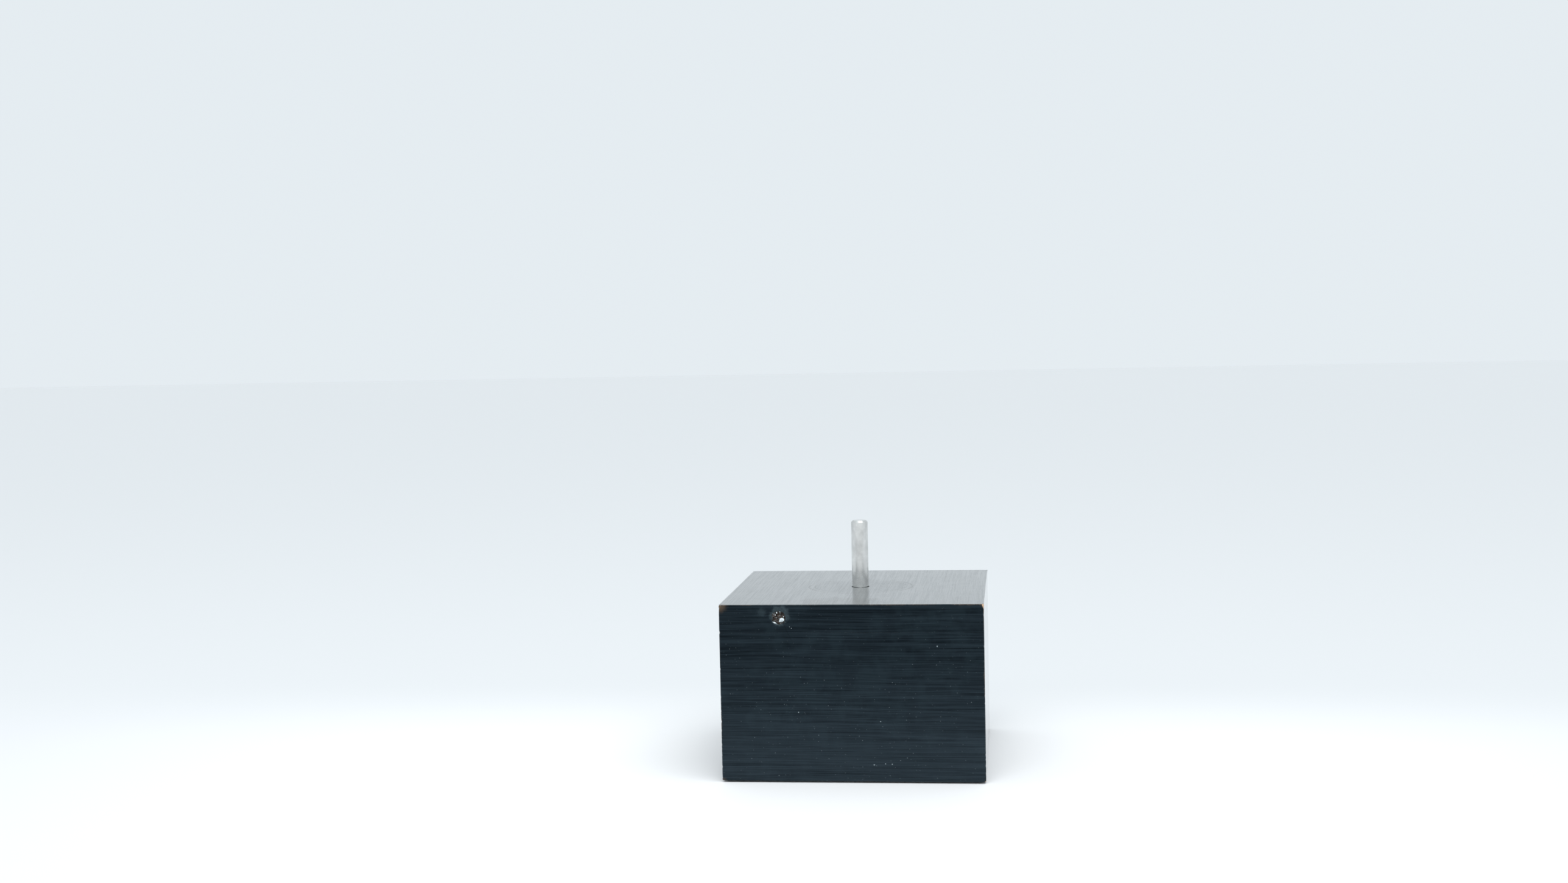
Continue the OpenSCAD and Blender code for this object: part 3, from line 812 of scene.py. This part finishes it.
def paint_slots(points, start, quads):
    """Which box material each quad takes: by the axis that it faces most, or bare wood where it is chipped."""
    diagonal_a = points[quads[:, 2]] - points[quads[:, 0]]
    diagonal_b = points[quads[:, 3]] - points[quads[:, 1]]
    normal = np.abs(np.cross(diagonal_a, diagonal_b))
    slots = np.argmax(normal * TIE_BREAK, axis=1)
    slots[chipped(start)[quads].sum(axis=1) >= 3] = BARE_WOOD_SLOT
    return slots


def board(name, lo, hi, pitch, seed, fine_z=()):
    """One wall of the box, from corner lo to corner hi, with finer grid lines in each span of fine_z."""
    xs = lines(lo[0], hi[0], pitch)
    ys = lines(lo[1], hi[1], pitch)
    zs = lines(lo[2], hi[2], pitch * 0.8, fine_z)
    start, quads, _ = slab(xs, ys, zs)
    points = wear(start, lo, hi, seed)
    piece = mesh_piece(name, points, quads, BOX_MATERIALS, paint_slots(points, start, quads))
    return piece


def top_board():
    """The top board, with the pin's hole, the wider hole for the bush under it, and the filler's pit."""
    lo, hi = TOP_LO, TOP_HI
    hole_r = PIN_R + PIN_GAP
    pin_span, pit_span = (-PIN_WINDOW, PIN_WINDOW), (PATCH_X - PIT_WINDOW, PATCH_X + PIT_WINDOW)
    xs = lines(lo[0], hi[0], BOARD_PITCH, (pit_span, pin_span), 0.42)
    ys = lines(lo[1], hi[1], BOARD_PITCH, (pin_span,), 0.75)
    zs = lines(lo[2], hi[2], 1.2, ((lo[2] + 3.4, hi[2] - 3.2),), 0.42)
    rows = [(share, hole_r + HOLE_ARRIS[0][0], hi[2]) for share in (0.2, 0.4, 0.6, 0.8)]
    rows += [(1.0, hole_r + out, hi[2] - down) for out, down in HOLE_ARRIS]
    under_bush = [BUSH_TOP_Z, (BUSH_TOP_Z + lo[2]) / 2, lo[2]]
    rows += [(1.0, hole_r, BUSH_TOP_Z)] + [(1.0, BUSH_HOLE_R, z) for z in under_bush] + [(0.5, BUSH_HOLE_R, lo[2])]
    start, quads, _ = bore(*slab(xs, ys, zs), (0.0, 0.0), PIN_WINDOW, rows)
    points = wear(start, lo, hi, 11)
    # the pit that the filler sits in, with ragged sides
    away = np.hypot(start[:, 0] - PATCH_X, start[:, 2] - PATCH_Z)
    front = np.abs(start[:, 1] + HALF_D) < SAME_PLACE
    depth = PIT_DEPTH * smooth(PIT_R + 0.2 * fractal(start, 1.5, 77, 2) - away, -0.1, 0.9)
    points[front, 1] += depth[front]
    piece = mesh_piece("top_board_shell", points, quads, BOX_MATERIALS, paint_slots(points, start, quads))
    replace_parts(piece, "top_board")


# Crumbs in the filler's hole, in mm: from the left face, down from the top face, into the hole, size; then the
# stretch on each axis. CORE_LUMPS are those of broken filler, and the rest are white.
LUMPS = (
    (36.1, 8.7, 0.35, 1.30, (1.05, 0.7, 0.95)),
    (35.0, 9.4, 0.55, 0.62, (1.0, 0.8, 0.9)),
    (31.7, 10.4, 0.45, 0.70, (1.2, 0.7, 0.7)),
    (30.9, 10.0, 0.30, 0.34, (1.0, 0.8, 1.0)),
    (32.6, 10.9, 0.30, 0.36, (1.0, 0.8, 1.0)),
    (33.1, 4.6, 0.55, 0.46, (0.8, 0.7, 1.1)),
    (34.9, 4.0, 0.50, 0.38, (1.0, 0.7, 0.9)),
    (36.6, 5.2, 0.80, 0.42, (1.0, 0.8, 1.2)),
    (34.2, 6.4, 1.15, 0.85, (1.1, 0.7, 0.9)),
    (32.3, 7.8, 1.05, 0.70, (0.9, 0.7, 1.1)),
    (33.4, 8.9, 0.95, 0.55, (1.0, 0.8, 0.8)),
    (36.9, 7.0, 0.75, 0.34, (1.0, 0.8, 1.0)),
    (32.2, 6.0, 0.85, 0.30, (1.0, 0.8, 1.0)),
    (37.6, 10.2, 0.06, 0.22, (1.0, 0.6, 1.0)),
    (40.3, 12.6, 0.04, 0.20, (1.0, 0.6, 1.0)),
    (41.4, 13.4, 0.04, 0.24, (1.0, 0.6, 0.8)),
)
CORE_LUMPS = (7, 8, 9, 10)
# Lumps larger than this get the finer sphere
FINE_LUMP = 0.4
# Points round the plug and rings from its middle to its rim, and the least distance from rim to top face
PLUG_TURNS, PLUG_RINGS, PLUG_RIM_DOWN = 96, 39, 0.62
# Behind the face the plug narrows: share of its rim's radius, and how far behind the face
PLUG_BACK = ((0.92, 0.35), (0.80, 1.2), (0.72, PIT_DEPTH - 0.45))


def blob(centre, size, seed, stretch):
    """A lumpy closed crumb: (points, faces)."""
    bm = bmesh.new()
    bmesh.ops.create_icosphere(bm, subdivisions=3 if size > FINE_LUMP else 2, radius=1.0)
    unit = np.array([v.co[:] for v in bm.verts])
    faces = [[v.index for v in f.verts] for f in bm.faces]
    bm.free()
    radius = 1 + 0.34 * fractal(unit + seed * 3.1, 0.9, seed, 3) + 0.10 * fractal(unit + seed, 0.3, seed + 1, 2)
    points = unit * radius[:, None] * size * np.array(stretch) + np.array(centre)
    return points, faces


def filler():
    """The plug of filler in the front edge: painted flush, with a crumbled hole and loose lumps in it."""
    turns = PLUG_TURNS
    angle = np.linspace(0, 2 * math.pi, turns, endpoint=False)
    ring = np.stack([np.cos(angle), np.sin(angle)], axis=1)
    wobble = fractal(np.column_stack([ring * 2.2, np.zeros(turns)]), 1.0, 7, 3)
    rim_r = PATCH_R + 0.15 + 0.28 * wobble
    upper_part = 0.2
    most_r = (TOP_Z - PLUG_RIM_DOWN - PATCH_Z) / np.maximum(ring[:, 1], upper_part)
    rim_r = np.minimum(rim_r, np.where(ring[:, 1] > upper_part, most_r, 99.0))
    shares = np.linspace(0.0, 1.0, PLUG_RINGS + 1)[1:]
    flat = np.concatenate([np.zeros((1, 2))] + [ring * (rim_r * t)[:, None] for t in shares])
    xz = flat + np.array([PATCH_X, PATCH_Z])
    start = np.column_stack([xz[:, 0], np.full(len(xz), -HALF_D), xz[:, 1]])
    share = np.concatenate([[0.0], np.repeat(shares, turns)])
    proud = 0.035 - 0.045 * smooth(share, 0.86, 1.0) + 0.02 * fractal(start, 1.2, 13, 3)
    crater_away = np.hypot(start[:, 0] - CRATER[0], (start[:, 2] - CRATER[1]) * 0.93)
    crater_r = 3.85 + 0.95 * fractal(start, 2.1, 19, 3)
    hollow = smooth(crater_r - crater_away, -0.12, 0.75)
    floor_depth = 1.25 + 0.75 * fractal(start, 1.6, 27, 3) + 0.28 * fractal(start, 0.55, 29, 2)
    points = start.copy()
    points[:, 1] += sway_of(start, 1) - proud + hollow * np.clip(floor_depth, 0.35, 2.3)

    loops = [1 + k * turns + np.arange(turns) for k in range(PLUG_RINGS)]
    faces = [[0, 1 + (i + 1) % turns, 1 + i] for i in range(turns)] + between(loops).tolist()
    slots = [CORE_SLOT if hollow[face].mean() > 0.22 else FILLER_PAINT_SLOT for face in faces]
    rim = points[loops[-1]]
    back_loops = loops[-1:]
    for scale, behind in PLUG_BACK:
        x = PATCH_X + (rim[:, 0] - PATCH_X) * scale
        z = PATCH_Z + (rim[:, 2] - PATCH_Z) * scale
        back_loops.append(len(points) + np.arange(turns))
        points = np.concatenate([points, np.column_stack([x, np.full(turns, -HALF_D + behind), z])])
    tip, last = len(points), back_loops[-1]
    points = np.concatenate([points, [[PATCH_X, -HALF_D + PIT_DEPTH - 0.3, PATCH_Z]]])
    faces += between(back_loops).tolist() + [[last[i], last[(i + 1) % turns], tip] for i in range(turns)]
    slots += [FILLER_PAINT_SLOT] * (len(faces) - len(slots))
    faces = [face[::-1] for face in faces]
    for number, (from_left, down, inward, size, stretch) in enumerate(LUMPS):
        place = (from_left - HALF_W, -HALF_D + inward, TOP_Z - down)
        lump, lump_faces = blob(place, size, 40 + number, stretch)
        faces += [[i + len(points) for i in f] for f in lump_faces]
        slots += [CORE_SLOT if number in CORE_LUMPS else LUMP_SLOT] * len(lump_faces)
        points = np.concatenate([points, lump])
    piece = mesh_piece("filler_plug", points, faces, FILLER_MATERIALS, slots)
    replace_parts(piece, "filler_patch")


top_board()
wall_span = ((BOTTOM_Z + 4.5, SEAM_Z - 4.5),)
for node_name, pitch, seed, fine_z in (
    ("front_board", BOARD_PITCH, 21, wall_span),
    ("back_board", BOARD_PITCH, 34, ()),
    ("left_board", SIDE_PITCH, 47, ()),
    ("right_board", SIDE_PITCH, 58, ()),
):
    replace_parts(board(node_name + "_shell", *box_mm(node_name), pitch, seed, fine_z), node_name)
filler()

# -------- felt


FELT_HOLE_R, FELT_WINDOW, SCREW_HEAD_R = 6.0, 8.0, 4.0
# Cut corners of the felt: how much of each side the cut takes, and the square that bends to follow it
CORNER_CUT, CORNER_SQUARE = 5.0, 9.0


def felt_sheet():
    """The felt under the box: cut corners, access holes, slightly uneven edges and a matted face."""
    lo, hi = FELT_LO, FELT_HI
    hole_at = round(BASE_SCREW_OUTER - SCREW_HEAD_R, 1)
    spans = tuple((s * hole_at - FELT_WINDOW, s * hole_at + FELT_WINDOW) for s in (-1, 1))
    xs = lines(lo[0], hi[0], 1.8, spans, 1.0)
    ys = lines(lo[1], hi[1], 1.8, spans, 1.0)
    start, quads, level = slab(xs, ys, np.linspace(lo[2], hi[2], 4))
    heights = ((0.5, hi[2]), (1.0, hi[2]), (1.0, (lo[2] + hi[2]) / 2), (1.0, lo[2]), (0.5, lo[2]))
    rows = [(share, FELT_HOLE_R, z) for share, z in heights]
    for sx, sy in itertools.product((-1, 1), repeat=2):
        start, quads, level = bore(start, quads, level, (sx * hole_at, sy * hole_at), FELT_WINDOW, rows)
    points = start.copy()
    inner = np.array([hi[0] - CORNER_SQUARE, hi[1] - CORNER_SQUARE])
    uv = (np.abs(points[:, :2]) - inner) / CORNER_SQUARE
    in_corner = (uv > 0).all(axis=1)
    t = np.maximum(uv.max(axis=1), NEAR_ZERO)
    limit = np.minimum(1.0, (2 - CORNER_CUT / CORNER_SQUARE) * t / np.maximum(uv.sum(axis=1), NEAR_ZERO))
    factor = np.where(in_corner, 1 - (1 - limit) * t, 1.0)
    moved = np.sign(points[:, :2]) * (inner + uv * CORNER_SQUARE * factor[:, None])
    points[in_corner, :2] = moved[in_corner]
    reach = np.maximum(np.abs(start[:, 0]) / hi[0], np.abs(start[:, 1]) / hi[1])
    rim = smooth(reach, 0.94, 1.0)
    points[:, 0] += rim * 0.22 * fractal(start, 3.5, 5, 3)
    points[:, 1] += rim * 0.22 * fractal(start, 3.5, 8, 3)
    under = start[:, 2] < lo[2] + SAME_PLACE
    pile = 0.05 + 0.03 * fractal(start, 1.1, 12, 2) + 0.02 * fractal(start, 18.0, 14, 2)
    pile += 0.18 * smooth(reach, 0.985, 1.0)
    points[under, 2] += np.maximum(pile, 0.0)[under]
    points[~under, 2] -= 0.01
    piece = mesh_piece("felt_sheet", points, quads, [felted("felt_matted")], smooth_angle=50.0)
    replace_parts(piece, "felt_pad")


felt_sheet()

# -------- finishes of the CAD nodes that stay

GREY_STEEL = ((0.55, 0.55, 0.54), (0.80, 0.80, 0.78))
BRONZE = ((0.42, 0.25, 0.11), (0.70, 0.48, 0.24))
NYLON = ((0.66, 0.63, 0.54), (0.80, 0.78, 0.70))
PHOSPHATE = ((0.035, 0.036, 0.038), (0.09, 0.09, 0.092))
MILL_SCALE = ((0.040, 0.040, 0.044), (0.13, 0.115, 0.105))
ZINC = ((0.42, 0.44, 0.46), (0.66, 0.69, 0.71))
PINE = ((0.42, 0.24, 0.11), (0.70, 0.48, 0.27))
BIRCH = ((0.50, 0.35, 0.20), (0.72, 0.55, 0.36))
finishes = {
    "mounting_pin": turned("pin_steel_turned", GREY_STEEL, (0.10, 0.24), ring=4.0),
    "flange_bush": turned("bush_bronze_turned", BRONZE, (0.22, 0.40), ring=2.4, bump_mm=0.006),
    "thrust_washer": moulded("washer_nylon", NYLON),
    "disc_spring": plated("spring_phosphate", PHOSPHATE, (0.34, 0.52)),
    "ballast_plate": plated("ballast_mill_scale", MILL_SCALE, (0.35, 0.66), grain=0.5, bump_mm=0.05),
    "pin_block": bare("plywood_pin_block", *BIRCH, "x"),
    "base_board": bare("plywood_base", *BIRCH, "y", ring=0.25),
    "top_dowels": bare("beech_dowels_upright", *BIRCH, "z", ring=0.8),
    "wall_dowels": bare("beech_dowels_level", *BIRCH, "y", ring=0.8),
}
for corner in ("front_left", "front_right", "back_left", "back_right"):
    finishes["corner_block_" + corner] = bare("pine_" + corner, *PINE, "z")
zinc = plated("zinc_plate", ZINC, (0.20, 0.38))
for fixing in ("pin_block_screws", "plain_washer", "clamp_nut", "lock_nut", "ballast_screws", "base_screws"):
    finishes[fixing] = zinc

for node_name, finish in finishes.items():
    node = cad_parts[node_name]
    for material_slot in node.material_slots:
        material_slot.link = "OBJECT"
        material_slot.material = finish

# -------- floor, light and sky


FLOOR_HALF_M = 9.0
FLOOR_TONES = (0.3, (0.625, 0.635, 0.65)), (0.7, (0.64, 0.65, 0.66))
# Painted light and shade on the floor: lighter round the box, darker behind it and far in front of it
FLOOR_PAINTED_LIGHT_NEAR, FLOOR_PAINTED_SHADE_BEHIND, FLOOR_PAINTED_SHADE_FAR_FRONT = (0.775, 0.78, 0.785), (0.615, 0.63, 0.64), (0.53, 0.535, 0.54)
SKY, SKY_STRENGTH = (0.80, 0.86, 0.90, 1.0), 0.98
LAMP_WHITE = (0.99, 0.995, 1.0)


def pale_floor():
    """Pale floor with painted light and shade: a painted pool of light round the box, and painted shade a little
    darker behind it and more so well in front of it.
    """
    g = Graph("floor_with_painted_light")
    colour = g.tint(g.even(0.002, 3.0, 3.0), *FLOOR_TONES)
    away = g.vector("LENGTH", g.combine(g.x, g.y, 0.0))
    # painted light round the box, then painted shade behind it and far in front of it
    colour = g.blend(g.band(away, 700.0, 95.0), colour, FLOOR_PAINTED_LIGHT_NEAR)
    colour = g.blend(g.band(g.y, 0.0, 240.0), colour, FLOOR_PAINTED_SHADE_BEHIND)
    colour = g.blend(g.band(g.y, -420.0, -820.0), colour, FLOOR_PAINTED_SHADE_FAR_FRONT)
    return g.shine(colour, 0.65, Specular_IOR_Level=0.15)


floor_mesh = bpy.data.meshes.new("floor")
corners = [(x * FLOOR_HALF_M, y * FLOOR_HALF_M, 0) for x, y in ((-1, -1), (1, -1), (1, 1), (-1, 1))]
floor_mesh.from_pydata(corners, [], [(0, 1, 2, 3)])
floor_mesh.materials.append(pale_floor())
add("floor", floor_mesh)

world = bpy.data.worlds.new("studio")
world.use_nodes = True
bpy.context.scene.world = world
sky = world.node_tree.nodes["Background"]
sky.inputs["Color"].default_value = SKY
sky.inputs["Strength"].default_value = SKY_STRENGTH


def lamp(name, kind, energy, ahead):
    """A light that shines along ahead: (its data, its object)."""
    data = bpy.data.lights.new(name, kind)
    data.energy, data.color = energy, LAMP_WHITE
    light = add(name, data)
    light.rotation_mode = "QUATERNION"
    light.rotation_quaternion = Vector(ahead).to_track_quat("-Z", "Y")
    return data, light


# A broad soft key from the front and the right, and a large softbox in front
key, _ = lamp("key_wide", "SUN", 1.62, (-0.27, 0.40, -0.88))
key.angle = math.radians(55.0)
fill_at, fill_on = Vector((-0.15, -1.25, 1.5)), Vector((0.0, 0.0, 0.05))
fill, fill_light = lamp("softbox_fill", "AREA", 12.0, fill_on - fill_at)
fill.shape, fill.size, fill.size_y = "RECTANGLE", 1.2, 1.2
fill_light.location = fill_at
bpy.context.scene.view_settings.view_transform = "Standard"
